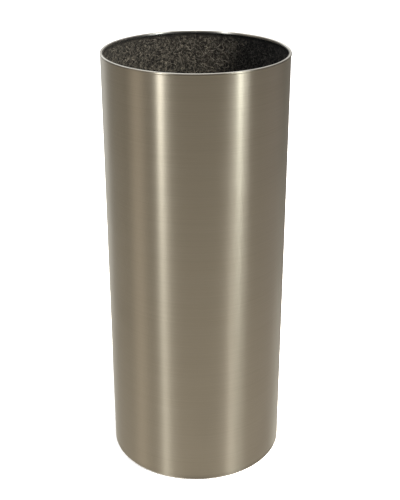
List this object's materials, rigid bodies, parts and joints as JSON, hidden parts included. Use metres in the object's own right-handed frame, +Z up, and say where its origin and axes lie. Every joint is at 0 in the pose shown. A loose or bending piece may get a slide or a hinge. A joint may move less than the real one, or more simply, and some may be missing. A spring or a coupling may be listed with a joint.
{
  "type": "umbrella stand",
  "caption": "Tall round umbrella stand: brushed steel tube with a bright edge bead, felt lining, weighted base on rubber feet and a lift-out drip tray.",
  "frame": {"origin": "centre of the base, on the floor that the feet stand on", "axes": "+Z up along the tube's axis; -Y is the front, and the tube's seam is at the back, on +Y"},
  "size_m": [0.211, 0.211, 0.5],
  "materials": {
    "brushed_shell": "stainless sheet, fine brushing round the tube, satin",
    "bright_bead": "stainless strip, finely polished round the bead",
    "dark_felt": "needle felt, flecked",
    "zinc_sheet": "zinc-plated pressed sheet, matt",
    "black_iron": "black paint over a sand-cast skin",
    "tray_plastic": "fine spark-eroded grain",
    "foot_rubber": "moulded, dull",
    "zinc_fastener": "bright zinc plate"
  },
  "bodies": {
    "stand": {"outer_shell": "brushed_shell", "rim_bead": "bright_bead", "felt_lining": "dark_felt", "base_pan": "zinc_sheet", "ballast_plate": "black_iron", "foot_1": "foot_rubber", "foot_2": "foot_rubber", "foot_3": "foot_rubber", "foot_4": "foot_rubber", "foot_screw_1": "zinc_fastener", "foot_screw_2": "zinc_fastener", "foot_screw_3": "zinc_fastener", "foot_screw_4": "zinc_fastener", "foot_washer_1": "zinc_fastener", "foot_washer_2": "zinc_fastener", "foot_washer_3": "zinc_fastener", "foot_washer_4": "zinc_fastener", "foot_nut_1": "zinc_fastener", "foot_nut_2": "zinc_fastener", "foot_nut_3": "zinc_fastener", "foot_nut_4": "zinc_fastener"},
    "tray": {"drip_tray": "tray_plastic"}
  },
  "joints": [
    {"name": "tray_lift", "type": "slide", "parent": "stand", "child": "tray", "axis": [0, 0, 1], "range_m": [0, 0.5]}
  ]
}
